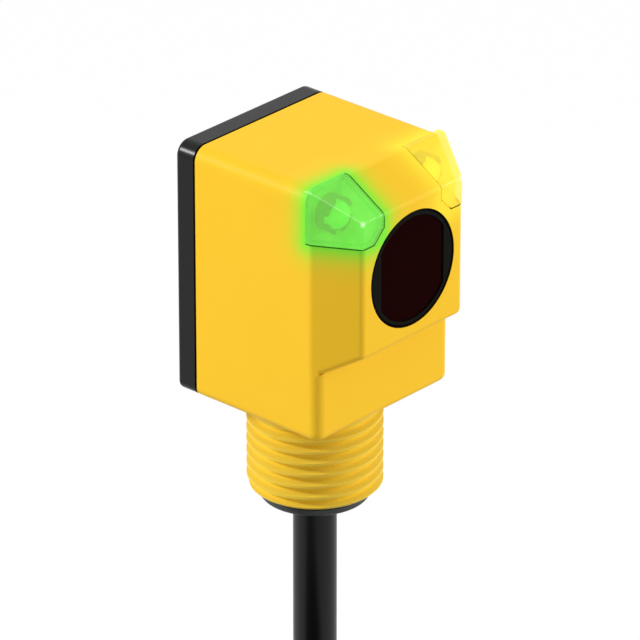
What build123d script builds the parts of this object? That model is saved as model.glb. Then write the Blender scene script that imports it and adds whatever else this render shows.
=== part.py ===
from build123d import *
import math
import os

# Through-beam sensor emitter: a yellow moulded housing with a threaded base, a black rear
# cover, a round dark lens in its sloping nose, two corner indicators and a moulded-in cable.
# Millimetres. +Z is up and the lens looks along -Y. The origin is on the thread's axis, in
# the plane of the housing's underside, which is the face that a bracket or nut bears on.

# Housing, outside
body_width = 25.75
body_height = 35.35
back_reach = 9.05            # thread axis to the joint with the rear cover
front_reach = 12.1           # thread axis to the lower front face
nose_reach = 16.85           # thread axis to the nose's front face
slope_reach = 10.85          # thread axis to where the sides and top start to slope
nose_side_inset = 3.375      # how far each side has come in at the nose's front
nose_top_drop = 3.6          # how far the top has come down there
nose_bottom_drop = 22.7      # top of the body to the lower edge of the nose's front face
ledge_drop = 25.45           # top of the body to where the nose's underside ends
wall = 1.8
top_edge_radius = 2.0
bottom_edge_radius = 1.2
front_edge_radius = 1.5      # upright corners of the lower front
slope_edge_radius = 1.3      # where a flat side turns into its slope
nose_edge_radius = 1.0
nose_underside_radius = 0.95
window_edge_radius = 0.25    # the windows' corners are sharper than the housing's

# Threaded base
thread_radius = 9.0
thread_pitch = 1.65
thread_depth = 0.85
thread_crest = 0.35          # width of the flat on each crest
thread_root = 0.3            # width of the flat at the bottom of the groove
stem_length = 14.0
stem_chamfer = 0.5
collar_radius = 8.75         # plain collar that centres the stem in a bracket's hole
collar_length = 1.5
cutter_overrun = 0.1         # small, so that neighbouring turns of the cutter stay apart
bore_radius = 6.0

# Clearances
slip = 0.05                  # between a piece and the hole that it is pushed into
seam = 0.15                  # visible joint line round the windows and the lens bezel

beyond = 6.0                 # how far cutting shapes run past the body
step = 0.002                 # keeps faces of crossing outlines out of one another's planes

# Rear cover and its gasket
gasket_gap = 0.35            # the dark groove between housing and cover
gasket_inset = 0.4           # how far the gasket lies below the outside
cover_thickness = 3.1
cover_skin = 1.5
cover_edge_radius = 0.6
spigot_depth = 2.0           # rim of the cover that enters the housing
spigot_thickness = 1.2
post_radius = 1.3
post_side_inset = 3.6        # posts to the body's side
post_low_z = 5.5
post_top_drop = 6.5          # upper posts to the body's top

# Lens and bezel
lens_drop = 13.15            # top of the body to the lens's axis
bezel_radius = 7.85
bezel_thickness = 1.15
bezel_recess = 0.05          # bezel's face below the nose's face
bezel_bevel = 0.25
pane_radius = 7.15
pane_flat = 5.97             # mid-plane to each flat of the double-D pane
pane_recess = 0.25           # pane's face below the nose's face
lens_hole_radius = 6.5
lens_bulge_radius = 6.3
lens_bulge = 2.0

# Indicator windows
window_width = 7.425         # side of the body to the window's inner seam
window_height = 7.4          # top of the body to the window's lower seam
window_reach = 10.0          # thread axis to the window's rear seam
window_notch = 1.9           # corner cut off beside the lens
window_corner_radius = 0.7
window_wall = 0.8
window_rim = 0.4
lining = 1.3                 # housing wall round each window's pocket

# Light pipes and their retainers
pipe_side_inset = 4.275      # light pipe's axis to the body's side
pipe_top_drop = 4.25         # light pipe's axis to the body's top
pipe_radius = 2.0
pipe_end_gap = 0.2           # between a light pipe and its indicator diode
retainer_wall = 0.45
retainer_length = 2.0
retainer_slot = 1.3
retainer_slot_depth = 0.8

# Circuit board
board_side_inset = 2.075     # side of the body to the board's edge
board_thickness = 1.6
board_front_y = -0.6
board_low_z = 2.4
board_top_drop = 2.35
rib_width = 1.3
rib_depth = 1.5
rib_top_z = 24.0
joint_pad = 0.1              # solder under each surface-mounted piece

# Emitter diode and the barrel in front of it
barrel_side_inset = 2.1      # side of the nose to the barrel's outside
barrel_wall = 0.6
barrel_neck_radius = 4.3
barrel_front_length = 3.0
barrel_neck_length = 3.0
diode_radius = 2.5
diode_flange_radius = 2.95
diode_flange = 1.0
diode_body = 5.0             # from the flange to where the dome starts
diode_pin_radius = 0.25
diode_pin_gap = 2.54
diode_pin_tail = 0.9
pin_clearance = 0.1
indicator_size = (2.0, 1.1, 1.25)

# Pieces on the board's rear: places are shares of its width, from the middle, and of its
# height, from below, and sizes are (width, depth, height)
driver_place = (0.25, 0.458)
driver_body = (3.9, 1.4, 4.9)
driver_stand_off = 0.15
driver_leg_width = 0.42
driver_leg_thickness = 0.2
driver_leg_reach = 1.05
driver_leg_gap = 1.27
driver_legs_a_side = 4
regulator_place = (-0.259, 0.725)
regulator_body = (6.5, 1.6, 3.5)
regulator_tab = (3.0, 0.25, 1.6)
regulator_leg = (0.7, 0.25, 1.6)
regulator_leg_gap = 2.3
tantalum_place = (-0.273, 0.386)
tantalum_body = (4.3, 2.8, 7.3)
tantalum_end = (2.4, 1.2, 0.4)
protection_place = (0.24, 0.19)
protection_body = (2.6, 2.2, 4.3)
protection_end = (1.5, 0.8, 0.5)
resistor_size = (2.0, 0.6, 1.25)
resistor_cap = 0.4
resistor_places = [(-0.018, 0.915), (-0.157, 0.915), (-0.296, 0.915), (0.12, 0.915),
                   (0, 0.327), (0, 0.399)]
capacitor_size = (2.0, 1.25, 1.25)
capacitor_cap = 0.45
capacitor_places = [(0.259, 0.915), (0.157, 0.791), (0.296, 0.791), (0, 0.477), (0, 0.255)]

# Cable and what holds it
cable_radius = 2.925
cable_stub = 1.0             # jacket that stands out above the ferrule
wire_radius = 0.65
wire_offset = 1.3
wire_bend = 1.5
wire_stand_off = 2.0         # wires behind the board's rear face
wire_pad_z = 7.0
wire_rise_z = 2.6            # where the wires are upright behind the board
gland_radius = 7.3
washer_radius = 7.2
washer_thickness = 0.8       # rubber washer between the stem's end and the gland's flange
gland_flange = 0.95
gland_edge_radius = 0.4
gland_sleeve = 6.8
ring_section = 0.6
ring_depth_in_sleeve = 3.0
groove_slack = 0.1
ferrule_radius = 3.7
ferrule_length = 3.2
potting_top_z = 1.75

# Route of the free cable: straight down, nine turns in a tied coil, and a hanging end
coil_mid_radius = 33.3
turn_spacing = 6.05
coil_layers = 3
turns_a_layer = 3            # each turn of a layer moves along by one spacing
coil_centre_z = -71.5
coil_skin = 0.2
stub_length = 24.0           # straight piece that runs into the coil's outer layer
tail_stand_off = 7.7         # hanging end in front of the coil's front row
tail_length = 61.0
ramp_turn = 50.0             # degrees of turn over which the end comes forward
tie_width = 4.6
tie_thickness = 1.1
tie_clearance = 0.18
tie_head = (6.0, 4.4, 5.4)
tie_angles = (-28.0, 152.0)
lead_straight = 6.0
lead_length = 24.0
lead_splay = 4.0
lead_bend = 24.0
tip_radius = 0.4
tip_length = 6.0

half_width = body_width / 2
nose_half_width = half_width - nose_side_inset
nose_top_z = body_height - nose_top_drop
nose_bottom_z = body_height - nose_bottom_drop
ledge_z = body_height - ledge_drop
lens_z = body_height - lens_drop
window_inner_x = half_width - window_width
barrel_radius = nose_half_width - barrel_side_inset
board_width = body_width - 2 * board_side_inset
board_height = body_height - board_top_drop - board_low_z
cable_top_z = gland_sleeve - stem_length + ferrule_length + cable_stub
board_rear_y = board_front_y + board_thickness
lens_axis = Axis((0, 0, lens_z), (0, 1, 0))
pipe_x = half_width - pipe_side_inset
pipe_z = body_height - pipe_top_drop


def moved_in(corners, inset):
    """Moves each side of an anticlockwise outline inward and gives its new corners."""
    sides = []
    for start, end in zip(corners, corners[1:] + corners[:1]):
        length = math.dist(start, end)
        inward = ((start[1] - end[1]) / length, (end[0] - start[0]) / length)
        offset = inward[0] * start[0] + inward[1] * start[1] + inset
        sides.append((inward, offset))
    found = []
    for (one, at_one), (two, at_two) in zip(sides[-1:] + sides[:-1], sides):
        cross = one[0] * two[1] - one[1] * two[0]
        found.append(((at_one * two[1] - at_two * one[1]) / cross,
                      (at_two * one[0] - at_one * two[0]) / cross))
    return found


def outline(corners, radii, inset=0.0, most=math.inf):
    """A face with rounded corners, none rounder than the most, moved inward by a wall."""
    rounded = [max(min(radius, most) - inset, 0) if radius else 0 for radius in radii]
    return make_face(FilletPolyline(*moved_in(corners, inset), radius=rounded, close=True))


def along_x(face):
    return extrude(Plane.YZ * face, amount=half_width + beyond, both=True)


def along_y(face):
    return extrude(Plane.XZ * face, amount=nose_reach + back_reach + beyond, both=True)


def along_z(face, low, high):
    return extrude(Pos(0, 0, low) * face, amount=high - low, dir=(0, 0, 1))


def toward_front(face, rear_y, depth):
    """A piece whose outline is seen from the front, from its rear plane forward."""
    return Pos(0, rear_y, 0) * extrude(Plane.XZ * face, amount=depth, dir=(0, -1, 0))


def block(low, high):
    """A box between two corners."""
    size = [b - a for a, b in zip(low, high)]
    middle = [(a + b) / 2 for a, b in zip(low, high)]
    return Pos(*middle) * Box(*size)


def rod(start, end, radius):
    """A round bar between two points."""
    path = Vector(*end) - Vector(*start)
    return Solid.make_cylinder(radius, path.length, Plane(start, z_dir=path))


def turned_on_y(points, centre_z, centre_x=0.0):
    """A turned piece about an axis along Y, from (y, radius) corners."""
    face = make_face(Polyline(*[(y, centre_z + radius) for y, radius in points], close=True))
    return Pos(centre_x, 0, 0) * revolve(Plane.YZ * face, Axis((0, 0, centre_z), (0, 1, 0)))


def turned_on_z(points):
    """A turned piece about the thread's axis, from (radius, z) corners."""
    return revolve(Plane.XZ * make_face(Polyline(*points, close=True)), Axis.Z)


def both_sides(piece):
    return [piece, mirror(piece, Plane.YZ)]


def plan_outline(inset, most=math.inf):
    back = back_reach + beyond
    corners = [(half_width, back), (-half_width, back), (-half_width, -slope_reach),
               (-nose_half_width, -nose_reach), (nose_half_width, -nose_reach),
               (half_width, -slope_reach)]
    radii = [0, 0, slope_edge_radius, nose_edge_radius, nose_edge_radius, slope_edge_radius]
    return outline(corners, radii, inset, most)


def side_outline(inset, most=math.inf):
    back = back_reach + beyond
    corners = [(back, 0), (back, body_height), (-slope_reach, body_height),
               (-nose_reach, nose_top_z), (-nose_reach, nose_bottom_z),
               (-front_reach, ledge_z), (-front_reach, 0)]
    return outline(corners, [0, 0, slope_edge_radius, nose_edge_radius, 0, 0, 0], inset, most)


def front_outline(inset, most=math.inf):
    corners = [(-half_width, 0), (half_width, 0), (half_width, body_height),
               (-half_width, body_height)]
    radii = [bottom_edge_radius, bottom_edge_radius, top_edge_radius, top_edge_radius]
    return outline(corners, radii, inset, most)


def envelope(inset, most=math.inf):
    """The body with its nose, moved inward by a wall, and open past the joint."""
    plan = along_z(plan_outline(inset - 2 * step, most), -beyond, body_height + beyond)
    return along_x(side_outline(inset, most)) & along_y(front_outline(inset - step, most)) & plan


def housing_outside():
    """The nose's sloping sides stop at its underside, whose edges are rounded where it stands out
    of the lower front, and the lower front has round corners and a round lower edge."""
    under_slope = (nose_bottom_z - ledge_z) / (nose_reach - front_reach)
    inner_y = front_edge_radius - front_reach + slope_edge_radius
    outer_y = -front_reach - beyond
    zone = along_x(make_face(Polyline(
        (inner_y, -beyond), (inner_y, ledge_z - under_slope * (inner_y + front_reach)),
        (outer_y, ledge_z - under_slope * (outer_y + front_reach)), (outer_y, -beyond),
        close=True)))
    back = back_reach + beyond
    lower_plan = outline(
        [(half_width, back), (-half_width, back), (-half_width, -front_reach),
         (half_width, -front_reach)],
        [0, 0, front_edge_radius, front_edge_radius], -step)
    lower = along_z(lower_plan, -step, body_height)
    foot = [edge for edge in lower.faces().sort_by(Axis.Z)[0].edges() if edge.center().Y < back - step]
    lower = fillet(foot, bottom_edge_radius + step) & zone & along_x(side_outline(0))
    split_y = front_edge_radius / 4 - front_reach
    ahead = block((-body_width, outer_y, -beyond), (body_width, split_y, body_height + beyond))
    nose = (along_z(plan_outline(-2 * step), 0, body_height + beyond) - zone) & ahead
    lip = [edge for edge in nose.faces().sort_by(Axis.Z)[0].edges() if edge.center().Y < split_y - step]
    nose = fillet(lip, nose_underside_radius) & along_x(side_outline(0)) & along_y(front_outline(-step))
    behind_joint = block((-body_width, back_reach, -beyond),
                         (body_width, back + beyond, body_height + beyond))
    return (envelope(0) - zone - ahead) + nose + lower - behind_joint


def window_pocket(inset, rear_y):
    """The corner that the right-hand window fills, between its seams."""
    low_z = body_height - window_height
    far_x, far_z = half_width + beyond, body_height + beyond
    corners = [(window_inner_x, low_z + window_notch), (window_inner_x + window_notch, low_z),
               (far_x, low_z), (far_x, far_z), (window_inner_x, far_z)]
    radii = [window_corner_radius, window_corner_radius, 0, 0, 0]
    depth = nose_reach + beyond + rear_y
    return toward_front(outline(corners, radii, inset), rear_y, depth)


def threaded_stem():
    """A round stem with a plain collar, and a right-hand thread cut along a helix."""
    stem = turned_on_z([
        (0, wall), (collar_radius, wall), (collar_radius, -collar_length),
        (thread_radius, -collar_length), (thread_radius, stem_chamfer - stem_length),
        (thread_radius - stem_chamfer, -stem_length), (0, -stem_length)])
    half_mouth = (thread_pitch - thread_crest) / 2
    half_root = thread_root / 2
    over_mouth = half_mouth + cutter_overrun * (half_mouth - half_root) / thread_depth
    start_z = -stem_length - thread_pitch
    helix = Pos(0, 0, start_z) * Helix(
        pitch=thread_pitch, height=stem_length + thread_pitch - collar_length - half_mouth,
        radius=thread_radius)
    root_radius = thread_radius - thread_depth
    groove = Plane.XZ * make_face(Polyline(
        (root_radius, start_z - half_root),
        (thread_radius + cutter_overrun, start_z - over_mouth),
        (thread_radius + cutter_overrun, start_z + over_mouth),
        (root_radius, start_z + half_root), close=True))
    return stem - sweep(groove, path=helix, is_frenet=True)


def make_housing():
    outside = housing_outside()
    inside = envelope(wall)
    shell = outside - inside
    pipe_hole = rod((pipe_x, -window_reach - beyond, pipe_z), (pipe_x, lining, pipe_z),
                    pipe_radius + slip)
    for lined in both_sides(window_pocket(-lining, lining - window_reach)):
        shell += lined & outside
    for pocket in both_sides(window_pocket(0, -window_reach)) + both_sides(pipe_hole):
        shell -= pocket
    rib_x = half_width - wall
    rib = block((rib_x - rib_width, board_front_y - rib_depth, wall / 2),
                (half_width - wall / 2, board_front_y, rib_top_z))
    for one in both_sides(rib):
        shell += one
    counterbore = rod((0, -nose_reach - beyond, lens_z),
                      (0, bezel_recess + bezel_thickness - nose_reach, lens_z),
                      bezel_radius + seam)
    lens_hole = rod((0, -nose_reach - beyond, lens_z), (0, beyond - nose_reach, lens_z),
                    lens_hole_radius)
    bore = rod((0, 0, -stem_length - beyond), (0, 0, 2 * wall), bore_radius)
    return shell - counterbore - lens_hole + threaded_stem() - bore


def make_window():
    """A clear cap, thin-walled and open to the rear, in the body's own corner shape."""
    cap = envelope(0, window_edge_radius) & window_pocket(seam, -window_reach)
    room = (envelope(window_wall, window_edge_radius)
            & window_pocket(seam + window_rim, slip - window_reach))
    return cap - room


def make_retainer():
    """A ring pushed over the light pipe's end, its front cut into four lugs."""
    inner = pipe_radius + slip
    outer = inner + retainer_wall
    rear_y = -window_reach
    front_y = rear_y - retainer_length
    ring = turned_on_y([(rear_y, inner), (rear_y, outer), (front_y, outer), (front_y, inner)],
                       pipe_z, pipe_x)
    reach = outer + slip
    slot_y = front_y + retainer_slot_depth
    for wide, tall in ((reach, retainer_slot / 2), (retainer_slot / 2, reach)):
        ring -= block((pipe_x - wide, front_y - slip, pipe_z - tall),
                      (pipe_x + wide, slot_y, pipe_z + tall))
    return ring


def make_light_pipe():
    """A clear rod with a domed front, from just ahead of its diode to inside the window."""
    rear_y = board_front_y - joint_pad - indicator_size[1] - pipe_end_gap
    dome_y = retainer_slot_depth - window_reach - retainer_length
    straight = rod((pipe_x, rear_y, pipe_z), (pipe_x, dome_y, pipe_z), pipe_radius)
    dome = Pos(pipe_x, dome_y, pipe_z) * Sphere(pipe_radius)
    return straight + dome


def double_d(radius, flat, front_y, rear_y):
    """A round plate with two upright flats."""
    disc = rod((0, front_y, lens_z), (0, rear_y, lens_z), radius)
    return disc & block((-flat, front_y, lens_z - radius), (flat, rear_y, lens_z + radius))


def make_bezel():
    front_y = bezel_recess - nose_reach
    rear_y = front_y + bezel_thickness
    ring = turned_on_y([(front_y, 0), (front_y, bezel_radius - bezel_bevel),
                        (front_y + bezel_bevel, bezel_radius), (rear_y, bezel_radius),
                        (rear_y, 0)], lens_z)
    return ring - double_d(pane_radius + slip, pane_flat + slip, front_y - slip, rear_y + slip)


def make_lens():
    """A double-D pane with a bulging back, which makes the beam parallel."""
    front_y = pane_recess - nose_reach
    seat_y = bezel_recess + bezel_thickness - nose_reach
    plate = double_d(pane_radius, pane_flat, front_y, seat_y)
    profile = make_face(
        Polyline((seat_y + lens_bulge, lens_z), (front_y + pane_recess, lens_z),
                 (front_y + pane_recess, lens_z + lens_bulge_radius),
                 (seat_y, lens_z + lens_bulge_radius))
        + RadiusArc((seat_y, lens_z + lens_bulge_radius), (seat_y + lens_bulge, lens_z),
                    (lens_bulge_radius ** 2 + lens_bulge ** 2) / (2 * lens_bulge)))
    bulge = revolve(Plane.YZ * profile, lens_axis)
    flats = block((-pane_flat, -nose_reach, lens_z - pane_radius),
                  (pane_flat, 0, lens_z + pane_radius))
    return plate + (bulge & flats)


def make_barrel():
    """A black tube that carries the beam from the emitter diode to the lens."""
    front_y = wall - nose_reach
    cone_y = front_y + barrel_front_length
    neck_y = board_front_y - barrel_neck_length
    mouth = barrel_radius - barrel_wall
    throat = diode_flange_radius + pin_clearance
    return turned_on_y(
        [(front_y, mouth), (front_y, barrel_radius), (cone_y, barrel_radius),
         (neck_y, barrel_neck_radius), (board_front_y, barrel_neck_radius), (board_front_y, throat),
         (neck_y, throat), (cone_y, mouth)], lens_z)


def make_emitter_diode():
    flange_y = board_front_y - diode_flange
    dome_y = flange_y - diode_body
    body = turned_on_y([(board_front_y, 0), (board_front_y, diode_flange_radius),
                        (flange_y, diode_flange_radius), (flange_y, diode_radius),
                        (dome_y, diode_radius), (dome_y, 0)], lens_z)
    body += Pos(0, dome_y, lens_z) * Sphere(diode_radius)
    for x in (-diode_pin_gap / 2, diode_pin_gap / 2):
        body += rod((x, board_front_y - diode_flange / 2, lens_z),
                    (x, board_rear_y + diode_pin_tail, lens_z), diode_pin_radius)
    return body


def make_board():
    board = block((-board_width / 2, board_front_y, board_low_z),
                  (board_width / 2, board_rear_y, board_low_z + board_height))
    for x in (-diode_pin_gap / 2, diode_pin_gap / 2):
        board -= rod((x, board_front_y - slip, lens_z), (x, board_rear_y + slip, lens_z),
                     diode_pin_radius + pin_clearance)
    return board


def on_board(place):
    """A place on the board in millimetres, from its shares of width and height."""
    return place[0] * board_width, board_low_z + place[1] * board_height


def on_rear(x, z, size):
    """A box-shaped piece soldered to the board's rear face."""
    wide, deep, tall = size
    return block((x - wide / 2, board_rear_y, z - tall / 2),
                 (x + wide / 2, board_rear_y + deep, z + tall / 2))


def make_driver_chip():
    """An eight-legged package, with its legs bent down to the board."""
    x, z = on_board(driver_place)
    body = Pos(0, driver_stand_off, 0) * on_rear(x, z, driver_body)
    shoulder_y = board_rear_y + driver_stand_off + driver_body[1] / 2
    foot_y = board_rear_y + driver_leg_thickness
    for side in (-1, 1):
        edge_x = x + side * driver_body[0] / 2
        knee_x = edge_x + side * driver_leg_reach / 2
        inner_x = knee_x - side * driver_leg_thickness
        tip_x = edge_x + side * driver_leg_reach
        root_x = edge_x - side * driver_leg_thickness
        for index in range(driver_legs_a_side):
            leg_z = z + (index - (driver_legs_a_side - 1) / 2) * driver_leg_gap
            low_z, high_z = leg_z - driver_leg_width / 2, leg_z + driver_leg_width / 2
            for one_x, two_x, low_y, high_y in (
                    (root_x, knee_x, shoulder_y - driver_leg_thickness, shoulder_y),
                    (inner_x, knee_x, board_rear_y, shoulder_y),
                    (inner_x, tip_x, board_rear_y, foot_y)):
                body += block((min(one_x, two_x), low_y, low_z), (max(one_x, two_x), high_y, high_z))
    return body


def make_regulator():
    """A small power package: a body with a wide tab above and three legs below."""
    x, z = on_board(regulator_place)
    body = on_rear(x, z, regulator_body)
    body += on_rear(x, z + (regulator_body[2] + regulator_tab[2]) / 2, regulator_tab)
    leg_z = z - (regulator_body[2] + regulator_leg[2]) / 2
    for index in (-1, 0, 1):
        body += on_rear(x + index * regulator_leg_gap, leg_z, regulator_leg)
    return body


def make_ended_block(place, body_size, end_size):
    """A moulded block just off the board, with a metal end soldered down above and below."""
    x, z = on_board(place)
    body = Pos(0, joint_pad, 0) * on_rear(x, z, body_size)
    for side in (-1, 1):
        body += on_rear(x, z + side * (body_size[2] + end_size[2]) / 2, end_size)
    return body


def make_chips(places, size, end):
    """Ceramic chips, each with a thicker metal cap at both ends."""
    wide, deep, tall = size
    chips = []
    for x, z in map(on_board, places):
        middle = (wide - 2 * end, deep - 2 * joint_pad, tall - 2 * joint_pad)
        chip = Pos(0, joint_pad, 0) * on_rear(x, z, middle)
        for side in (-1, 1):
            chip += on_rear(x + side * (wide - end) / 2, z, (end, deep, tall))
        chips.append(chip)
    return Compound(children=chips)


def make_indicator_diode():
    wide, deep, tall = indicator_size
    front_y = board_front_y - joint_pad - deep
    base_y = board_front_y - joint_pad - deep / 2
    base = block((pipe_x - wide / 2, base_y, pipe_z - tall / 2),
                 (pipe_x + wide / 2, board_front_y, pipe_z + tall / 2))
    lens = block((pipe_x - wide / 4, front_y, pipe_z - tall / 2),
                 (pipe_x + wide / 4, base_y, pipe_z + tall / 2))
    return base + lens


def ring_of(inset, outer_inset, low_y, high_y):
    """A rim that follows the body's outline, between two insets."""
    return toward_front(front_outline(outer_inset) - front_outline(inset), high_y, high_y - low_y)


def make_gasket():
    return ring_of(wall, gasket_inset, back_reach, back_reach + gasket_gap)


def make_rear_cover():
    front_y = back_reach + gasket_gap
    rear_y = front_y + cover_thickness
    plate = toward_front(front_outline(0), rear_y, cover_thickness)
    plate = fillet(plate.faces().sort_by(Axis.Y)[-1].edges(), cover_edge_radius)
    spigot_inset = wall + 2 * slip
    hollow_y = rear_y - cover_skin
    hollow = toward_front(front_outline(spigot_inset + spigot_thickness), hollow_y,
                          hollow_y - front_y + slip)
    cover = plate - hollow
    cover += ring_of(spigot_inset + spigot_thickness, spigot_inset, front_y - spigot_depth,
                     front_y + cover_thickness / 2)
    post_x = half_width - post_side_inset
    for x in (-post_x, post_x):
        for z in (post_low_z, body_height - post_top_drop):
            cover += rod((x, board_rear_y, z), (x, rear_y - cover_skin / 2, z), post_radius)
    return cover


def make_gland():
    """The plug in the stem's mouth, with a groove for its sealing ring."""
    flange_z = -stem_length - washer_thickness
    low_z = flange_z - gland_flange
    top_z = gland_sleeve - stem_length
    sleeve = bore_radius - slip
    groove_z = ring_depth_in_sleeve - stem_length
    half = ring_section + groove_slack
    floor = sleeve - 2 * ring_section - groove_slack
    hole = cable_radius + slip
    gland = turned_on_z([(hole, low_z), (gland_radius, low_z), (gland_radius, flange_z),
                         (sleeve, flange_z), (sleeve, groove_z - half), (floor, groove_z - half),
                         (floor, groove_z + half), (sleeve, groove_z + half), (sleeve, top_z),
                         (hole, top_z)])
    rim = gland.edges().filter_by(GeomType.CIRCLE).filter_by(
        lambda edge: abs(edge.radius - gland_radius) < slip and edge.center().Z < low_z + slip)
    return fillet(rim, gland_edge_radius)


def make_washer():
    low_z = -stem_length - washer_thickness
    return turned_on_z([(bore_radius, low_z), (washer_radius, low_z), (washer_radius, -stem_length),
                        (bore_radius, -stem_length)])


def make_sealing_ring():
    return Pos(0, 0, ring_depth_in_sleeve - stem_length) * Torus(
        bore_radius - slip - ring_section, ring_section)


def wire_route(side):
    x = side * wire_offset
    y = board_rear_y + wire_stand_off
    return FilletPolyline(
        (x, 0, cable_top_z), (x, 0, cable_top_z + wire_bend), (x, y, wire_rise_z),
        (x, y, wire_pad_z), (x, board_rear_y, wire_pad_z),
        radius=[wire_bend, wire_bend, wire_bend])


def swept_round(path, radius):
    return sweep(Plane(path @ 0, z_dir=path % 0) * Circle(radius), path=path)


def make_potting():
    """Resin that closes the stem round the two wires."""
    plug = rod((0, 0, cable_top_z), (0, 0, potting_top_z), bore_radius - slip)
    for side in (-1, 1):
        plug -= swept_round(wire_route(side), wire_radius + slip)
    return plug


def make_ferrule():
    low_z = gland_sleeve - stem_length
    top_z = low_z + ferrule_length
    hole = cable_radius + slip
    return turned_on_z([(hole, low_z), (ferrule_radius, low_z), (ferrule_radius, top_z),
                        (hole, top_z)])


coil_outer_turn = coil_mid_radius + turn_spacing * (coil_layers - 1) / 2
coil_inner_turn = coil_mid_radius - turn_spacing * (coil_layers - 1) / 2
coil_centre_x = -coil_outer_turn
coil_front_y = -turn_spacing * turns_a_layer
tail_x = coil_centre_x + coil_inner_turn
tail_y = coil_front_y - tail_stand_off
tail_end_z = coil_centre_z - tail_length


def make_coil():
    """The outer shape of the tied coil, with the cable's first straight piece and its end."""
    reach = cable_radius + coil_skin
    section = outline(
        [(coil_inner_turn - reach, coil_front_y - reach),
         (coil_outer_turn + reach, coil_front_y - reach),
         (coil_outer_turn + reach, reach), (coil_inner_turn - reach, reach)],
        [cable_radius] * 4)
    ring = revolve(Pos(coil_centre_x, 0, coil_centre_z) * section,
                   Axis((coil_centre_x, 0, coil_centre_z), (0, 1, 0)))
    stub = rod((0, 0, coil_centre_z), (0, 0, coil_centre_z + stub_length), cable_radius)
    turn = math.radians(ramp_turn)
    leaves = (coil_centre_x + coil_inner_turn * math.cos(turn), coil_front_y,
              coil_centre_z + coil_inner_turn * math.sin(turn))
    knee_z = coil_centre_z + cable_radius
    ramp = rod(leaves, (tail_x, tail_y, knee_z), cable_radius)
    knee = Pos(tail_x, tail_y, knee_z) * Sphere(cable_radius)
    start = rod((tail_x, tail_y, knee_z), (tail_x, tail_y, coil_centre_z), cable_radius)
    return ring + stub + ramp + knee + start


def make_ties():
    """Two straps round the bundle of turns, each with its square head on the outside."""
    reach = cable_radius + coil_skin + tie_clearance
    low_r, high_r = coil_inner_turn - reach, coil_outer_turn + reach
    low_y, high_y = coil_front_y - reach, reach
    corners = [(low_r, low_y), (high_r, low_y), (high_r, high_y), (low_r, high_y)]
    inner = outline(corners, [cable_radius] * 4)
    outer = outline(corners, [cable_radius + tie_thickness] * 4, -tie_thickness)
    strap = along_z(outer - inner, -tie_width / 2, tie_width / 2)
    wide, deep, tall = tie_head
    head = block((high_r + tie_thickness / 2, (low_y + high_y - deep) / 2, -tall / 2),
                 (high_r + tie_thickness / 2 + wide / 2, (low_y + high_y + deep) / 2, tall / 2))
    tie = strap + head
    centre = Pos(coil_centre_x, 0, coil_centre_z)
    return Compound(children=[centre * Rot(0, -angle, 0) * tie for angle in tie_angles])


def lead_route(side):
    x = tail_x + side * wire_offset
    return FilletPolyline(
        (x, tail_y, tail_end_z), (x, tail_y, tail_end_z - lead_straight),
        (x + side * lead_splay, tail_y, tail_end_z - lead_length), radius=lead_bend)


def make_tips():
    """Tinned ends of the two leads, each in line with its lead."""
    tips = []
    for side in (-1, 1):
        route = lead_route(side)
        end = route @ 1
        tips.append(rod(tuple(end), tuple(end + (route % 1) * tip_length), tip_radius))
    return Compound(children=tips)


right_window = make_window()
right_pipe = make_light_pipe()
right_retainer = make_retainer()
right_diode = make_indicator_diode()

nodes = {
    "housing": make_housing(),
    "rear_cover": make_rear_cover(),
    "cover_gasket": make_gasket(),
    "lens_bezel": make_bezel(),
    "front_lens": make_lens(),
    "green_window": mirror(right_window, Plane.YZ),
    "yellow_window": right_window,
    "green_light_pipe": mirror(right_pipe, Plane.YZ),
    "yellow_light_pipe": right_pipe,
    "green_pipe_retainer": mirror(right_retainer, Plane.YZ),
    "yellow_pipe_retainer": right_retainer,
    "green_indicator_diode": mirror(right_diode, Plane.YZ),
    "yellow_indicator_diode": right_diode,
    "optics_barrel": make_barrel(),
    "emitter_diode": make_emitter_diode(),
    "circuit_board": make_board(),
    "driver_chip": make_driver_chip(),
    "voltage_regulator": make_regulator(),
    "tantalum_capacitor": make_ended_block(tantalum_place, tantalum_body, tantalum_end),
    "protection_diode": make_ended_block(protection_place, protection_body, protection_end),
    "chip_resistors": make_chips(resistor_places, resistor_size, resistor_cap),
    "chip_capacitors": make_chips(capacitor_places, capacitor_size, capacitor_cap),
    "brown_wire": swept_round(wire_route(-1), wire_radius),
    "blue_wire": swept_round(wire_route(1), wire_radius),
    "potting_plug": make_potting(),
    "crimp_ferrule": make_ferrule(),
    "cable_gland": make_gland(),
    "gland_washer": make_washer(),
    "gland_sealing_ring": make_sealing_ring(),
    "cable": rod((0, 0, cable_top_z), (0, 0, coil_centre_z + stub_length), cable_radius),
    "cable_coil": make_coil(),
    "cable_tail": rod((tail_x, tail_y, coil_centre_z), (tail_x, tail_y, tail_end_z), cable_radius),
    "cable_ties": make_ties(),
    "brown_lead": swept_round(lead_route(-1), wire_radius),
    "blue_lead": swept_round(lead_route(1), wire_radius),
    "lead_tips": make_tips(),
}

turns_length = 2 * math.pi * coil_mid_radius * coil_layers * turns_a_layer
hanging_length = -stem_length - washer_thickness - gland_flange - coil_centre_z
print("cable from gland to jacket end, mm", round(hanging_length + turns_length + tail_length, 1))
print("lead bend radius, mm", lead_bend, "inner turn radius, mm", coil_inner_turn)

os.makedirs("parts", exist_ok=True)
for name, solid in nodes.items():
    export_step(solid, f"parts/{name}.step")
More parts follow.
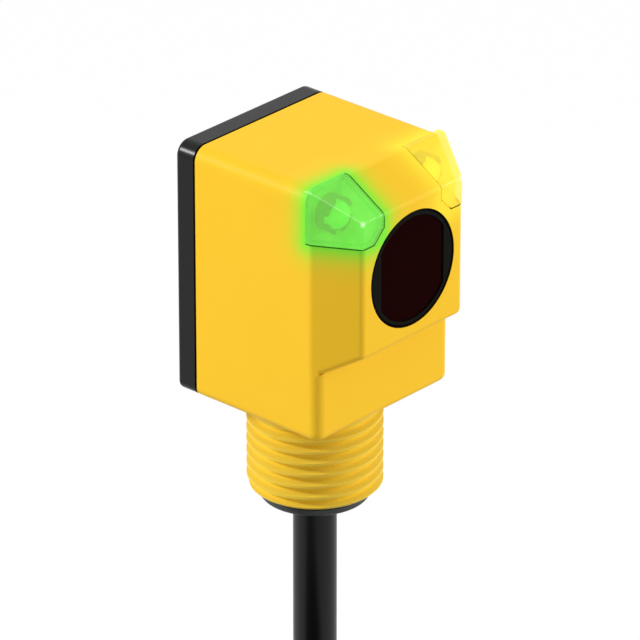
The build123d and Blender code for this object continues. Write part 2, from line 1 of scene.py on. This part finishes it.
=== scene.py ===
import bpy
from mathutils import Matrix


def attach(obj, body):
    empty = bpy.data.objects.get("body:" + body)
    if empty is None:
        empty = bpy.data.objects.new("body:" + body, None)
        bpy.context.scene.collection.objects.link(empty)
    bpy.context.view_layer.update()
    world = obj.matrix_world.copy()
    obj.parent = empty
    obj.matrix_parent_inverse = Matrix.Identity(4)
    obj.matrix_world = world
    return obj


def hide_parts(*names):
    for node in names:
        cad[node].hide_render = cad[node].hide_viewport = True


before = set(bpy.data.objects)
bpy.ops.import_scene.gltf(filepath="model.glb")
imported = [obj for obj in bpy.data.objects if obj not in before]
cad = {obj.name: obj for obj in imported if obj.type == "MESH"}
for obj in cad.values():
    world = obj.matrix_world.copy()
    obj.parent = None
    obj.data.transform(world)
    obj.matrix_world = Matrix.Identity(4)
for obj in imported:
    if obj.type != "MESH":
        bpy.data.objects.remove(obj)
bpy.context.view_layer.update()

import math

import bpy
import numpy as np
from mathutils import Matrix, Vector

# The photograph looks down on the emitter's left side, front and top from most of a metre away,
# through a long lens, so that its upright edges stay upright.
camera_place = (-0.566154, -0.512579, 0.382047)
camera_right = Vector((0.67051, -0.74190, 0.0))
camera_up = Vector((0.32537, 0.29407, 0.89870))
camera_back = Vector((-0.66674, -0.60259, 0.43857))
camera_turn = Matrix((camera_right, camera_up, camera_back)).transposed()
camera_data = bpy.data.cameras.new("photo_camera")
camera_data.sensor_width = 36.0
camera_data.lens = 367.74
camera_data.clip_start, camera_data.clip_end = 0.05, 20.0
camera = bpy.data.objects.new("photo_camera", camera_data)
bpy.context.scene.collection.objects.link(camera)
camera.matrix_world = Matrix.Translation(camera_place) @ camera_turn.to_4x4()
bpy.context.scene.camera = camera
bpy.context.scene.view_settings.view_transform = "Standard"


# The cable is 5.85 mm two-core cable with a smooth black jacket, two metres long. It hangs
# straight down from the gland, is wound into three layers of three turns held by two ties, and
# its last stretch hangs in front of the coil.
cable_radius = 0.002925
gland_exit = (0.0, 0.0, -0.01575)
coil_centre_x, coil_centre_z = -0.03935, -0.0715
outer_radius, middle_radius, inner_radius = 0.03935, 0.0333, 0.02725
turn_spacing, turns_a_layer, layers = 0.00605, 3, 3
points_a_turn = 15
tail_x, tail_y, tail_end_z = -0.0121, -0.02585, -0.1325


def coil_points():
    """Control points of nine turns, clockwise as seen from the front, starting at three o'clock.
    Each layer is a helix that moves along by one spacing a turn, and back in the next layer. The
    radius drops from one layer to the next over a fifth of a turn, and the last sixth of a turn
    comes forward to the hanging end. The points stand out from the turns by one over the cosine
    of half the angle between them, because the spline cuts inside them."""
    turned = (np.arange(layers * turns_a_layer * points_a_turn) + 0.5) / points_a_turn
    radius = np.interp(turned, [2.9, 3.1, 5.9, 6.1],
                       [outer_radius, middle_radius, middle_radius, inner_radius])
    radius = radius / math.cos(math.pi / points_a_turn)
    along = np.interp(turned, [0, 3, 6, 8.86, 9.02],
                      np.array([0, -3, 0, -2.86, -3]) * turn_spacing)
    along += np.interp(turned, [8.84, 9.0], [0, tail_y + turns_a_layer * turn_spacing])
    angle = 2 * math.pi * turned
    return np.stack([coil_centre_x + radius * np.cos(angle), along,
                     coil_centre_z - radius * np.sin(angle)], axis=1)


cable_route = np.concatenate([
    [gland_exit, (0, 0, -0.0395), (0, 0, -0.0632)],
    coil_points(),
    [(tail_x, tail_y, -0.0905), (tail_x, tail_y, -0.111), (tail_x, tail_y, tail_end_z)]])
cable_curve = bpy.data.curves.new("free_cable", "CURVE")
cable_curve.dimensions = "3D"
cable_curve.bevel_depth = cable_radius
cable_curve.bevel_resolution = 7
cable_curve.resolution_u = 6
cable_curve.use_fill_caps = True
cable_spline = cable_curve.splines.new("NURBS")
cable_spline.points.add(len(cable_route) - 1)
cable_spline.points.foreach_set("co", np.c_[cable_route, np.ones(len(cable_route))].ravel())
cable_spline.order_u = 3
cable_spline.use_endpoint_u = True
free_cable = bpy.data.objects.new("free_cable", cable_curve)
bpy.context.scene.collection.objects.link(free_cable)


def new_material(name):
    """An empty material, its node tree and its Principled shader, ready to be wired."""
    material = bpy.data.materials.new(name)
    material.use_nodes = True
    return material, material.node_tree, material.node_tree.nodes["Principled BSDF"]


def feed(tree, socket, value):
    """Links another socket to this one, or sets it to a number, a vector or a colour."""
    if isinstance(value, bpy.types.NodeSocket):
        tree.links.new(value, socket)
    elif socket.type == "RGBA":
        socket.default_value = (*value, 1.0)
    else:
        socket.default_value = value


def node_with(tree, kind, settings):
    """A new node whose inputs, by name or number, are given sockets or values."""
    node = tree.nodes.new(kind)
    for name, value in settings.items():
        feed(tree, node.inputs[name], value)
    return node


def worked(tree, operation, one, two=0.5):
    """The output of a Math node on two sockets or numbers."""
    node = node_with(tree, "ShaderNodeMath", {0: one, 1: two})
    node.operation = operation
    return node.outputs[0]


def blended(tree, factor, one, two):
    """A colour that runs from one to the other as the factor goes from 0 to 1."""
    node = tree.nodes.new("ShaderNodeMix")
    node.data_type = "RGBA"
    for number, value in ((0, factor), (6, one), (7, two)):
        feed(tree, node.inputs[number], value)
    return node.outputs[2]


def object_point(tree):
    """The point in the piece's own coordinates."""
    return tree.nodes.new("ShaderNodeTexCoord").outputs["Object"]


def axes_of(tree, point):
    """The X, Y and Z of a point."""
    return node_with(tree, "ShaderNodeSeparateXYZ", {0: point}).outputs


def noise_on_object(tree, scale, detail=2.0, stretch=(1.0, 1.0, 1.0)):
    """Noise in the piece's own coordinates. Its scale is in waves per metre, and a stretch under
    one draws it out along that axis."""
    turned = node_with(tree, "ShaderNodeMapping",
                       {"Vector": object_point(tree), "Scale": stretch})
    noise = node_with(tree, "ShaderNodeTexNoise",
                      {"Vector": turned.outputs["Vector"], "Scale": scale, "Detail": detail})
    return noise.outputs["Fac"]


def add_bump(tree, shader, height, strength, depth):
    """Bump from a height that runs from 0 to 1 over a depth in metres."""
    bump = node_with(tree, "ShaderNodeBump",
                     {"Strength": strength, "Distance": depth, "Height": height})
    feed(tree, shader.inputs["Normal"], bump.outputs["Normal"])


def moulded_plastic(name, colour, deeper, roughness, spread=0.06, grain=2600.0, grain_depth=6e-6,
                    specular=0.3, drift=90.0):
    """Plastic as it leaves the mould. Its colour drifts between two near shades over about a
    centimetre, its roughness is a middle value plus a share of fine noise, and a fine
    spark-eroded grain gives it its bump."""
    material, tree, shader = new_material(name)
    slow = noise_on_object(tree, drift, 3.0)
    fine = noise_on_object(tree, grain, 2.0)
    sheen = worked(tree, "MULTIPLY", worked(tree, "SUBTRACT", fine, 0.5), spread)
    feed(tree, shader.inputs["Base Color"], blended(tree, slow, colour, deeper))
    feed(tree, shader.inputs["Roughness"], worked(tree, "ADD", sheen, roughness))
    feed(tree, shader.inputs["Specular IOR Level"], specular)
    add_bump(tree, shader, fine, 0.25, grain_depth)
    return material


def dress(material, *names):
    """Gives CAD nodes their finish."""
    for name in names:
        for slot in cad[name].material_slots:
            slot.material = material


jacket = moulded_plastic("jacket_black", (0.0035, 0.0035, 0.0035), (0.0055, 0.0055, 0.0058), 0.34,
                         spread=0.08, grain=1400.0, grain_depth=20e-6, specular=0.21)
cable_curve.materials.append(jacket)
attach(free_cable, "root")
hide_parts("cable", "cable_coil", "cable_tail")


# Inside the stem the jacket goes on up through the gland and the ferrule, and is cut off square
# 3 mm below the housing, where the two wires come out of it.
def turned_mesh(name, profile, segments):
    """A closed surface of revolution about the upright axis: each (radius, height) of the profile
    goes round by equal angles, and its first and last points are poles with one vertex each."""
    radius, height = np.array(profile).T
    angle = 2 * np.pi * np.arange(segments) / segments
    rings = np.stack([radius[:, None] * np.cos(angle), radius[:, None] * np.sin(angle),
                      np.repeat(height[:, None], segments, axis=1)], axis=2)
    poles = np.array([[0, 0, height[0]], [0, 0, height[-1]]])
    points = np.concatenate([rings[1:-1].reshape(-1, 3), poles])
    count = len(profile) - 2
    ring, column = np.meshgrid(np.arange(count - 1), np.arange(segments), indexing="ij")
    after = (column + 1) % segments
    quads = np.stack([ring * segments + column, ring * segments + after,
                      (ring + 1) * segments + after, (ring + 1) * segments + column], axis=2)
    faces = quads.reshape(-1, 4).tolist()
    column, after = np.arange(segments), (np.arange(segments) + 1) % segments
    low_pole, high_pole = count * segments, count * segments + 1
    last = (count - 1) * segments
    faces += np.stack([np.full(segments, low_pole), after, column], axis=1).tolist()
    faces += np.stack([np.full(segments, high_pole), last + column, last + after],
                      axis=1).tolist()
    mesh = bpy.data.meshes.new(name)
    mesh.from_pydata(points.tolist(), [], faces)
    mesh.polygons.foreach_set("use_smooth", np.ones(len(faces), bool))
    mesh.update()
    piece = bpy.data.objects.new(name, mesh)
    bpy.context.scene.collection.objects.link(piece)
    return piece


jacket_low, jacket_top = -0.01575, -0.003
low_edge, cut_edge = 0.00002, 0.0001
jacket_in_stem = turned_mesh("jacket_in_stem", [
    (0, jacket_low), (cable_radius - low_edge, jacket_low), (cable_radius, jacket_low + low_edge),
    (cable_radius, jacket_top - cut_edge), (cable_radius - cut_edge, jacket_top),
    (0, jacket_top)], segments=48)
jacket_in_stem.data.materials.append(jacket)
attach(jacket_in_stem, "root")
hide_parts("cable")


# The coil's ties are black nylon straps with a square head, pulled tight and trimmed off.
# They are a little duller than the jacket that they hold.
tie_nylon = moulded_plastic("tie_black", (0.012, 0.012, 0.012), (0.018, 0.018, 0.019), 0.42)
dress(tie_nylon, "cable_ties")


# The floor is a pale sheet well below the hanging cable. What is seen of it, straight, in a
# reflection or through a clear piece, is nearly all plain white, and a small share of its own
# shading keeps the soft shadow.
floor_half, floor_z = 6.0, -0.176
paper_grey, white_strength, white_share = 0.54, 1.03, 0.93


def seen_rays(tree):
    """One for rays from the camera, off a glossy surface or through a clear one, else nought."""
    ray = tree.nodes.new("ShaderNodeLightPath").outputs
    in_pieces = worked(tree, "MAXIMUM", ray["Is Glossy Ray"], ray["Is Transmission Ray"])
    return worked(tree, "MAXIMUM", ray["Is Camera Ray"], in_pieces)


floor_mesh = bpy.data.meshes.new("floor")
floor_mesh.from_pydata([(-floor_half, -floor_half, floor_z), (floor_half, -floor_half, floor_z),
                        (floor_half, floor_half, floor_z), (-floor_half, floor_half, floor_z)],
                       [], [(0, 1, 2, 3)])
floor = bpy.data.objects.new("floor", floor_mesh)
bpy.context.scene.collection.objects.link(floor)
floor_paper, tree, shader = new_material("floor_paper")
tree.nodes.remove(shader)
paper = node_with(tree, "ShaderNodeBsdfDiffuse", {"Color": (paper_grey,) * 3})
white = node_with(tree, "ShaderNodeEmission",
                  {"Color": (1.0, 1.0, 1.0), "Strength": white_strength})
mixed = node_with(tree, "ShaderNodeMixShader", {
    0: worked(tree, "MULTIPLY", seen_rays(tree), white_share),
    1: paper.outputs[0], 2: white.outputs[0]})
feed(tree, tree.nodes["Material Output"].inputs["Surface"], mixed.outputs[0])
floor_mesh.materials.append(floor_paper)


# The studio is a white tent that lights the emitter more from overhead than from below, with a
# narrow lamp behind on the left, whose light runs along the top left edge, and a broad one in
# front on the right. What is seen of the tent is plain white.
def ramp(tree, value, start, end, low=0.0, high=1.0):
    """The low value before the start, the high one after the end, a straight line between."""
    return node_with(tree, "ShaderNodeMapRange", {
        "Value": value, "From Min": start, "From Max": end, "To Min": low, "To Max": high,
    }).outputs["Result"]


world = bpy.data.worlds.new("studio")
bpy.context.scene.world = world
world.use_nodes = True
tree = world.node_tree
direction = tree.nodes.new("ShaderNodeTexCoord").outputs["Generated"]
from_below, from_overhead = 0.44, 0.64
light_given = ramp(tree, axes_of(tree, direction)["Z"], -0.6, 0.7,
                   low=from_below, high=from_overhead)
brightness = node_with(tree, "ShaderNodeMix", {0: seen_rays(tree), 2: light_given, 3: 1.0})
sky = tree.nodes["Background"].inputs
feed(tree, sky["Color"], (1.0, 1.0, 1.0))
feed(tree, sky["Strength"], brightness.outputs[0])


def lamp(name, toward, distance, size, watts):
    """A square soft lamp that hangs in the given direction from the housing and faces it."""
    housing_middle = Vector((0.0, -0.003, 0.018))
    data = bpy.data.lights.new(name, "AREA")
    data.energy = watts
    data.size = size
    item = bpy.data.objects.new(name, data)
    bpy.context.scene.collection.objects.link(item)
    away = Vector(toward).normalized()
    item.location = housing_middle + away * distance
    item.rotation_euler = away.to_track_quat("Z", "Y").to_euler()


lamp("rear_left_lamp", toward=(-0.66, 0.60, 0.45), distance=0.9, size=0.18, watts=6.0)
lamp("front_right_lamp", toward=(0.64, -0.71, 0.33), distance=0.9, size=0.32, watts=5.1)


# The housing is one yellow moulding with a fine satin surface, with pockets for the two windows
# and a bore for the lens. The light that the windows send into its plastic, a bloom that fades
# within a few millimetres, is painted here as colour, and so is the shade in the seams round the
# windows and on the wall of the bore.
window_inner_x, window_low_z, window_rear_y = 0.00545, 0.02795, -0.0100
window_notch = 0.0019
bezel_bore_radius, bezel_axis_z, nose_y = 0.0080, 0.0222, -0.01685
outer_faces = (((1.0, 0.0, 0.0), 0.012875), ((0.8716, -0.4903, 0.0), 0.016542),
               ((0.0, -1.0, 0.0), 0.01685), ((0.0, -0.5145, 0.8575), 0.035895),
               ((0.0, 0.0, 1.0), 0.03535))
bloom_reach, bloom_power = 0.00205, 1.4
shaded_depth, shade_ends = 0.00040, 0.00055
hair = 0.00001

housing_yellow = moulded_plastic("housing_yellow", (0.93, 0.560, 0.026), (0.90, 0.533, 0.022),
                                 0.46, spread=0.05, grain=2600.0, grain_depth=4e-6, specular=0.08)
tree = housing_yellow.node_tree
surface_colour = tree.nodes["Principled BSDF"].inputs["Base Color"]
housing_point = object_point(tree)
housing_x, housing_y, housing_z = axes_of(tree, housing_point)


def vector_worked(tree, operation, one, two=(0.0, 0.0, 0.0)):
    """The output of a Vector Math node: a number where it measures, and else a vector."""
    node = node_with(tree, "ShaderNodeVectorMath", {0: one, 1: two})
    node.operation = operation
    measures = operation in ("DOT_PRODUCT", "DISTANCE", "LENGTH")
    return node.outputs["Value" if measures else "Vector"]


def facing_out(tree, side, point):
    """The point with X made positive on its own side, so that both windows share their sizes."""
    return vector_worked(tree, "MULTIPLY", point, (side, 1.0, 1.0))


def bloom(side):
    """How strongly the plastic takes up a window's light: one at the window's block, and beyond
    it e to the power of minus the distance over the reach, itself raised to the bloom's power.
    The distance is the length of how far a point lies past the inner seam, under the lower seam
    and behind the rear seam."""
    past = worked(tree, "ADD", worked(tree, "MULTIPLY", housing_x, -side), window_inner_x)
    under = worked(tree, "SUBTRACT", window_low_z, housing_z)
    behind = worked(tree, "SUBTRACT", housing_y, window_rear_y)
    total = 0.0
    for distance in (past, under, behind):
        share = worked(tree, "DIVIDE", worked(tree, "MAXIMUM", distance, 0.0), bloom_reach)
        total = worked(tree, "ADD", worked(tree, "POWER", share, 2.0), total)
    bent = worked(tree, "POWER", total, bloom_power / 2)
    return worked(tree, "POWER", math.e, worked(tree, "MULTIPLY", bent, -1.0))


def under_surface(point):
    """How deep a point lies under the nearest of the body's flat outer faces: the least of each
    face's offset less the point's product with its normal."""
    least = None
    for normal, offset in outer_faces:
        product = vector_worked(tree, "DOT_PRODUCT", point, normal)
        depth = worked(tree, "SUBTRACT", offset, product)
        least = depth if least is None else worked(tree, "MINIMUM", least, depth)
    return least


def seam_shade(side):
    """How much painted shade a window's pocket puts on the housing: one on the walls of a window's
    pocket down to half a millimetre under the outer faces, and nought elsewhere. The pocket is
    where a point lies inside the inner, lower and rear seams and past the notch's slanted one, to
    within four hundredths of a millimetre."""
    inside = worked(tree, "SUBTRACT", worked(tree, "MULTIPLY", housing_x, side), window_inner_x)
    above = worked(tree, "SUBTRACT", housing_z, window_low_z)
    notched = worked(tree, "SUBTRACT", worked(tree, "ADD", inside, above), window_notch)
    least = worked(tree, "MINIMUM", worked(tree, "MINIMUM", inside, above), notched)
    under = under_surface(facing_out(tree, side, housing_point))
    shade = worked(tree, "MULTIPLY", ramp(tree, least, -4 * hair, -hair),
                   ramp(tree, under, shade_ends, shaded_depth))
    in_front = ramp(tree, housing_y, window_rear_y - hair, window_rear_y - 3 * hair)
    return worked(tree, "MULTIPLY", shade, in_front)


def flat_length(tree, **parts):
    """The length of a vector with the given X, Y or Z parts, and nought for the rest."""
    vector = node_with(tree, "ShaderNodeCombineXYZ", parts)
    return vector_worked(tree, "LENGTH", vector.outputs[0])


# The base is part of the same moulding. Its thread's grooves, flanks and crests, told apart by
# their distance from the axis, are painted in slightly different yellows that stand in for light
# and shade: the flanks darker as painted shade, the crests paler as a painted highlight, and the
# grooves lighter against the shade that falls in them.
groove_radius, flank_radius = 0.00822, 0.00852
flank_end_radius, crest_radius = 0.00892, 0.00898
plastic_colour = surface_colour.links[0].from_socket
from_stem_axis = flat_length(tree, X=housing_x, Y=housing_y)
groove_to_flank = ramp(tree, from_stem_axis, groove_radius, flank_radius)
flank_to_crest = ramp(tree, from_stem_axis, flank_end_radius, crest_radius)
on_stem = ramp(tree, housing_z, 10 * hair, -10 * hair)
thread_painted_shading = blended(tree, groove_to_flank, (0.92, 0.620, 0.040), (0.77, 0.530, 0.044))
thread_painted_shading = blended(tree, flank_to_crest, thread_painted_shading, (0.85, 0.585, 0.06))
painted = blended(tree, on_stem, plastic_colour, thread_painted_shading)
for side, strength, light in ((-1.0, 0.90, (0.14, 0.84, 0.045)), (1.0, 0.75, (1.0, 0.84, 0.045))):
    painted = blended(tree, worked(tree, "MULTIPLY", bloom(side), strength), painted, light)
# The wall of the bore round the lens bezel is painted near black, as painted shade.
from_bore_axis = flat_length(
    tree, X=housing_x, Z=worked(tree, "SUBTRACT", housing_z, bezel_axis_z))
bore_painted_shade = worked(tree, "MULTIPLY",
                 ramp(tree, from_bore_axis, bezel_bore_radius + 3 * hair,
                      bezel_bore_radius + hair),
                 ramp(tree, housing_y, nose_y + hair, nose_y + 4 * hair))
painted = blended(tree, bore_painted_shade, painted, (0.020, 0.013, 0.003))
# Painted shade on the walls of each window's pocket: dark green at the green window, dark brown at
# the yellow one.
for side, pocket_shade_colour in ((-1.0, (0.020, 0.12, 0.002)), (1.0, (0.10, 0.055, 0.002))):
    painted = blended(tree, seam_shade(side), painted, pocket_shade_colour)
feed(tree, surface_colour, painted)
dress(housing_yellow, "housing")


# The rear cover is a black moulding with a finer, shinier surface, pushed onto a dark rubber
# gasket that shows as a black line round the joint. The gland's washer and ring are such rubber.
cover_black = moulded_plastic("cover_black", (0.0030, 0.0030, 0.0032), (0.0050, 0.0050, 0.0054),
                              0.26, spread=0.08, grain=3200.0, grain_depth=3e-6, specular=0.20)
dress(cover_black, "rear_cover")
gasket_rubber = moulded_plastic("gasket_rubber", (0.004, 0.004, 0.004), (0.006, 0.006, 0.006),
                                0.7, specular=0.2)
# The washer's black under the stem's rim also stands in for the rim's shade on the gland.
dress(gasket_rubber, "cover_gasket", "gland_sealing_ring", "gland_washer")


# The bezel is a slate-black ring sunk flush in the nose, and holds a pane of dark maroon filter
# plastic, polished, with two upright flats.
bezel_black = moulded_plastic("bezel_black", (0.0040, 0.0046, 0.0036), (0.0052, 0.0060, 0.0046),
                              0.4, specular=0.02)
dress(bezel_black, "lens_bezel")
lens_filter = moulded_plastic("lens_filter", (0.0085, 0.0001, 0.0001), (0.0100, 0.0002, 0.0001),
                              0.12, spread=0.03, grain=600.0, grain_depth=0.6e-6, specular=0.006)
dress(lens_filter, "front_lens")


# Each window is a clear cap over the end of a light pipe. The green one is lit brightly enough to
# hide most of what is behind it, and the yellow one glows nearly as bright as its own plastic.
# Points on a window's ridges, and the lines between them with their widths, shares and colours,
# along which the cap's glow carries a painted highlight.
edge_start, hip_start = (0.012875, -0.0100, 0.03535), (0.012875, -0.01085, 0.03535)
hip_end, brow_end = (0.0095, -0.01685, 0.03175), (0.00545, -0.01685, 0.03175)
past_hip_end = np.array(hip_end) * 0.995
painted_ridge_glints = ((hip_start, hip_end, 0.00010, 0.55, (0.9, 1.0, 0.8)),
          (hip_end, brow_end, 0.00012, 0.25, (0.9, 1.0, 0.7)),
          (edge_start, hip_start, 0.00016, 0.8, (1.3, 1.4, 1.1)),
          (hip_end, past_hip_end, 0.00028, 1.0, (1.7, 1.8, 1.5)))


def near_line(tree, point, start, end, width):
    """One on a straight line and falling to nought beside it: e to the minus square of the
    distance to the nearest point of the line, over the width."""
    start, end = np.array(start), np.array(end)
    share = vector_worked(tree, "DOT_PRODUCT", vector_worked(tree, "SUBTRACT", point, start),
                          (end - start) / np.dot(end - start, end - start))
    nearest = tree.nodes.new("ShaderNodeMix")
    nearest.data_type = "VECTOR"
    for number, value in ((0, share), (4, start), (5, end)):
        feed(tree, nearest.inputs[number], value)
    distance = vector_worked(tree, "DISTANCE", point, nearest.outputs[1])
    squared = worked(tree, "POWER", worked(tree, "DIVIDE", distance, width), 2.0)
    return worked(tree, "POWER", math.e, worked(tree, "MULTIPLY", squared, -1.0))


def lit_window(name, side, body, glow, tint, clear):
    """Clear plastic full of light: part of it lets what lies behind show through, tinted, and part
    shines with the lamp's own colour, uneven by slow noise. A painted highlight glows along its
    ridges, brightest at the two ends of the hip, where the slanted edge of its corner begins and
    ends."""
    material, tree, shader = new_material(name)
    cloud = noise_on_object(tree, 420.0, 3.0)
    darker_body = tuple(0.85 * part for part in body)
    dim_glow, full_glow = (tuple(level * part for part in glow) for level in (0.6, 1.35))
    light = blended(tree, cloud, dim_glow, full_glow)
    point = facing_out(tree, side, object_point(tree))
    for start, end, width, share, glint_colour in painted_ridge_glints:
        glint_share = worked(tree, "MULTIPLY", near_line(tree, point, start, end, width), share)
        light = blended(tree, glint_share, light, glint_colour)
    for socket, value in (("Roughness", 0.08), ("Specular IOR Level", 0.3),
                          ("Base Color", blended(tree, cloud, body, darker_body)),
                          ("Emission Color", light), ("Emission Strength", 1.0)):
        feed(tree, shader.inputs[socket], value)
    add_bump(tree, shader, noise_on_object(tree, 900.0, 1.0), 0.1, 10e-6)
    through = node_with(tree, "ShaderNodeBsdfTransparent", {"Color": tint})
    both = node_with(tree, "ShaderNodeMixShader",
                     {0: clear, 1: shader.outputs[0], 2: through.outputs[0]})
    feed(tree, tree.nodes["Material Output"].inputs["Surface"], both.outputs[0])
    return material


dress(lit_window("window_green", side=-1.0, body=(0.21, 0.56, 0.090), glow=(0.20, 0.58, 0.090),
                 tint=(0.65, 0.92, 0.60), clear=0.65), "green_window")
dress(lit_window("window_yellow", side=1.0, body=(0.80, 0.63, 0.045), glow=(0.46, 0.39, 0.035),
                 tint=(1.0, 0.95, 0.60), clear=0.55), "yellow_window")


# The light pipes are polished clear rods, bright at the dome with the diode's light, and each is
# held in the housing's wall by a grey ring whose front is cut into four lugs.
pipe_rear_y, pipe_front_y = -0.002, -0.011


def light_pipe(name, colour, strength):
    """A clear rod whose dome shines: the light grows from nought near the diode to full near the
    front, along the rod's length."""
    clear_plastic = (0.75, 0.80, 0.76)
    material, tree, shader = new_material(name)
    y = axes_of(tree, object_point(tree))["Y"]
    along = ramp(tree, y, pipe_rear_y, pipe_front_y)
    shade = blended(tree, along, clear_plastic, colour)
    cloud = noise_on_object(tree, 500.0, 2.0)
    shade = blended(tree, worked(tree, "MULTIPLY", cloud, 0.3), shade, colour)
    for socket, value in (("Roughness", 0.1), ("Base Color", shade),
                          ("Emission Color", blended(tree, along, (0.0, 0.0, 0.0), colour)),
                          ("Emission Strength", strength)):
        feed(tree, shader.inputs[socket], value)
    return material


dress(light_pipe("light_pipe_green", (0.22, 0.9, 0.15), 0.25), "green_light_pipe")
dress(light_pipe("light_pipe_yellow", (0.9, 0.82, 0.12), 0.45), "yellow_light_pipe")
retainer_grey = moulded_plastic("retainer_grey", (0.06, 0.07, 0.06), (0.09, 0.10, 0.09), 0.4)
dress(retainer_grey, "green_pipe_retainer", "yellow_pipe_retainer")


# The two indicator diodes are small moulded blocks with a narrower lens in front, each tinted
# with the colour that it shines in, and are soldered to the board.
dress(moulded_plastic("indicator_green", (0.30, 0.80, 0.28), (0.40, 0.88, 0.36), 0.15,
                      specular=0.5), "green_indicator_diode")
dress(moulded_plastic("indicator_yellow", (0.90, 0.80, 0.25), (0.95, 0.86, 0.35), 0.15,
                      specular=0.5), "yellow_indicator_diode")


# The barrel is a matt black tube that keeps the beam off the housing's inside, and the emitter
# diode in its neck is a polished resin body with a domed end, on two pins.
dress(moulded_plastic("barrel_black", (0.006, 0.006, 0.006), (0.009, 0.009, 0.009), 0.75,
                      specular=0.2), "optics_barrel")
dress(moulded_plastic("emitter_resin", (0.030, 0.014, 0.036), (0.040, 0.020, 0.046), 0.08,
                      spread=0.02, grain_depth=1e-6, specular=0.5), "emitter_diode")


# The board is green glass-fibre laminate with lighter copper tracks under its mask, and carries
# black moulded packages, glazed resistors, tan ceramic capacitors and an orange tantalum block.
board_green, tree, shader = new_material("board_green")
upright = node_with(tree, "ShaderNodeMapping", {
    "Vector": object_point(tree), "Rotation": (math.pi / 2, 0.0, 0.0)})
tracks = node_with(tree, "ShaderNodeTexBrick", {
    "Vector": upright.outputs["Vector"], "Color1": (0.012, 0.10, 0.035),
    "Color2": (0.014, 0.12, 0.042), "Mortar": (0.03, 0.22, 0.08), "Scale": 1.0,
    "Mortar Size": 0.0002, "Brick Width": 0.0042, "Row Height": 0.0021})
feed(tree, shader.inputs["Roughness"], 0.3)
feed(tree, shader.inputs["Base Color"], tracks.outputs["Color"])
add_bump(tree, shader, tracks.outputs["Fac"], 0.4, 30e-6)
dress(board_green, "circuit_board")


def soldered(name, body, half_length, axis, middles):
    """A small part whose ends are tinned: the tin is where the distance from the nearest part's
    middle, along one axis, is more than half its bare length."""
    tin = (0.62, 0.62, 0.60)
    material, tree, shader = new_material(name)
    along = axes_of(tree, object_point(tree))[axis]
    nearest = None
    for middle in middles:
        away = worked(tree, "ABSOLUTE", worked(tree, "SUBTRACT", along, middle))
        nearest = away if nearest is None else worked(tree, "MINIMUM", nearest, away)
    tinned = worked(tree, "GREATER_THAN", nearest, half_length)
    cloud = noise_on_object(tree, 1500.0, 2.0)
    shade = blended(tree, cloud, body, tuple(min(1.0, 1.25 * part) for part in body))
    for socket, value in (("Roughness", 0.32), ("Base Color", blended(tree, tinned, shade, tin)),
                          ("Metallic", tinned)):
        feed(tree, shader.inputs[socket], value)
    return material


package_black = (0.012, 0.012, 0.013)
dress(soldered("resistor_dark", (0.012, 0.012, 0.014), half_length=0.0006, axis="X",
               middles=(-0.0064, -0.0034, -0.0004, 0.0, 0.0026)), "chip_resistors")
dress(soldered("capacitor_tan", (0.38, 0.24, 0.12), half_length=0.00055, axis="X",
               middles=(0.0, 0.0034, 0.0056, 0.0064)), "chip_capacitors")
dress(soldered("tantalum_orange", (0.62, 0.24, 0.03), half_length=0.00365, axis="Z",
               middles=(0.01421,)), "tantalum_capacitor")
dress(soldered("protection_black", package_black, half_length=0.00215, axis="Z",
               middles=(0.00821,)), "protection_diode")
dress(soldered("driver_black", package_black, half_length=0.00195, axis="X",
               middles=(0.0054,)), "driver_chip")
dress(soldered("regulator_black", package_black, half_length=0.00175, axis="Z",
               middles=(0.02458,)), "voltage_regulator")


# Brown and blue wires run from the cut jacket up through a plug of dark resin and are soldered to
# the board. Below, the same two wires leave the jacket's end with tinned tips.
def wire_plastic(name, colour, deeper):
    """Thin extruded insulation, smooth, whose colour drifts over a few millimetres."""
    return moulded_plastic(name, colour, deeper, 0.3, grain=1800.0, grain_depth=4e-6,
                           specular=0.45, drift=300.0)


dress(wire_plastic("insulation_brown", (0.075, 0.020, 0.006), (0.095, 0.028, 0.009)),
      "brown_wire", "brown_lead")
dress(wire_plastic("insulation_blue", (0.006, 0.035, 0.32), (0.010, 0.050, 0.38)),
      "blue_wire", "blue_lead")
dress(moulded_plastic("potting_resin", (0.008, 0.008, 0.009), (0.012, 0.012, 0.013), 0.25,
                      specular=0.5), "potting_plug")


def plated_metal(name, colour, roughness, scratch_scale):
    """Plated metal: full metallic, its roughness and shade streaked by noise drawn out along the
    upright axis."""
    material, tree, shader = new_material(name)
    streaks = noise_on_object(tree, scratch_scale, 3.0, stretch=(1.0, 1.0, 0.15))
    rougher = worked(tree, "ADD", worked(tree, "MULTIPLY", streaks, 0.2), roughness)
    shade = blended(tree, streaks, colour, tuple(0.85 * part for part in colour))
    for socket, value in (("Metallic", 1.0), ("Base Color", shade), ("Roughness", rougher)):
        feed(tree, shader.inputs[socket], value)
    return material


dress(plated_metal("ferrule_metal", (0.60, 0.56, 0.44), 0.25, 1500.0), "crimp_ferrule")
dress(plated_metal("tinned_copper", (0.66, 0.66, 0.64), 0.3, 6000.0), "lead_tips")


# The gland is a dark grey moulded plug in the stem's mouth, with a rubber ring in its groove,
# pushed up until its flange presses the washer against the stem's end. The washer's black line
# under the stem's rim also stands in for the shade that the rim casts there.
gland_grey = moulded_plastic("gland_grey", (0.038, 0.043, 0.044), (0.046, 0.052, 0.053), 0.38,
                             specular=0.25)
dress(gland_grey, "cable_gland")
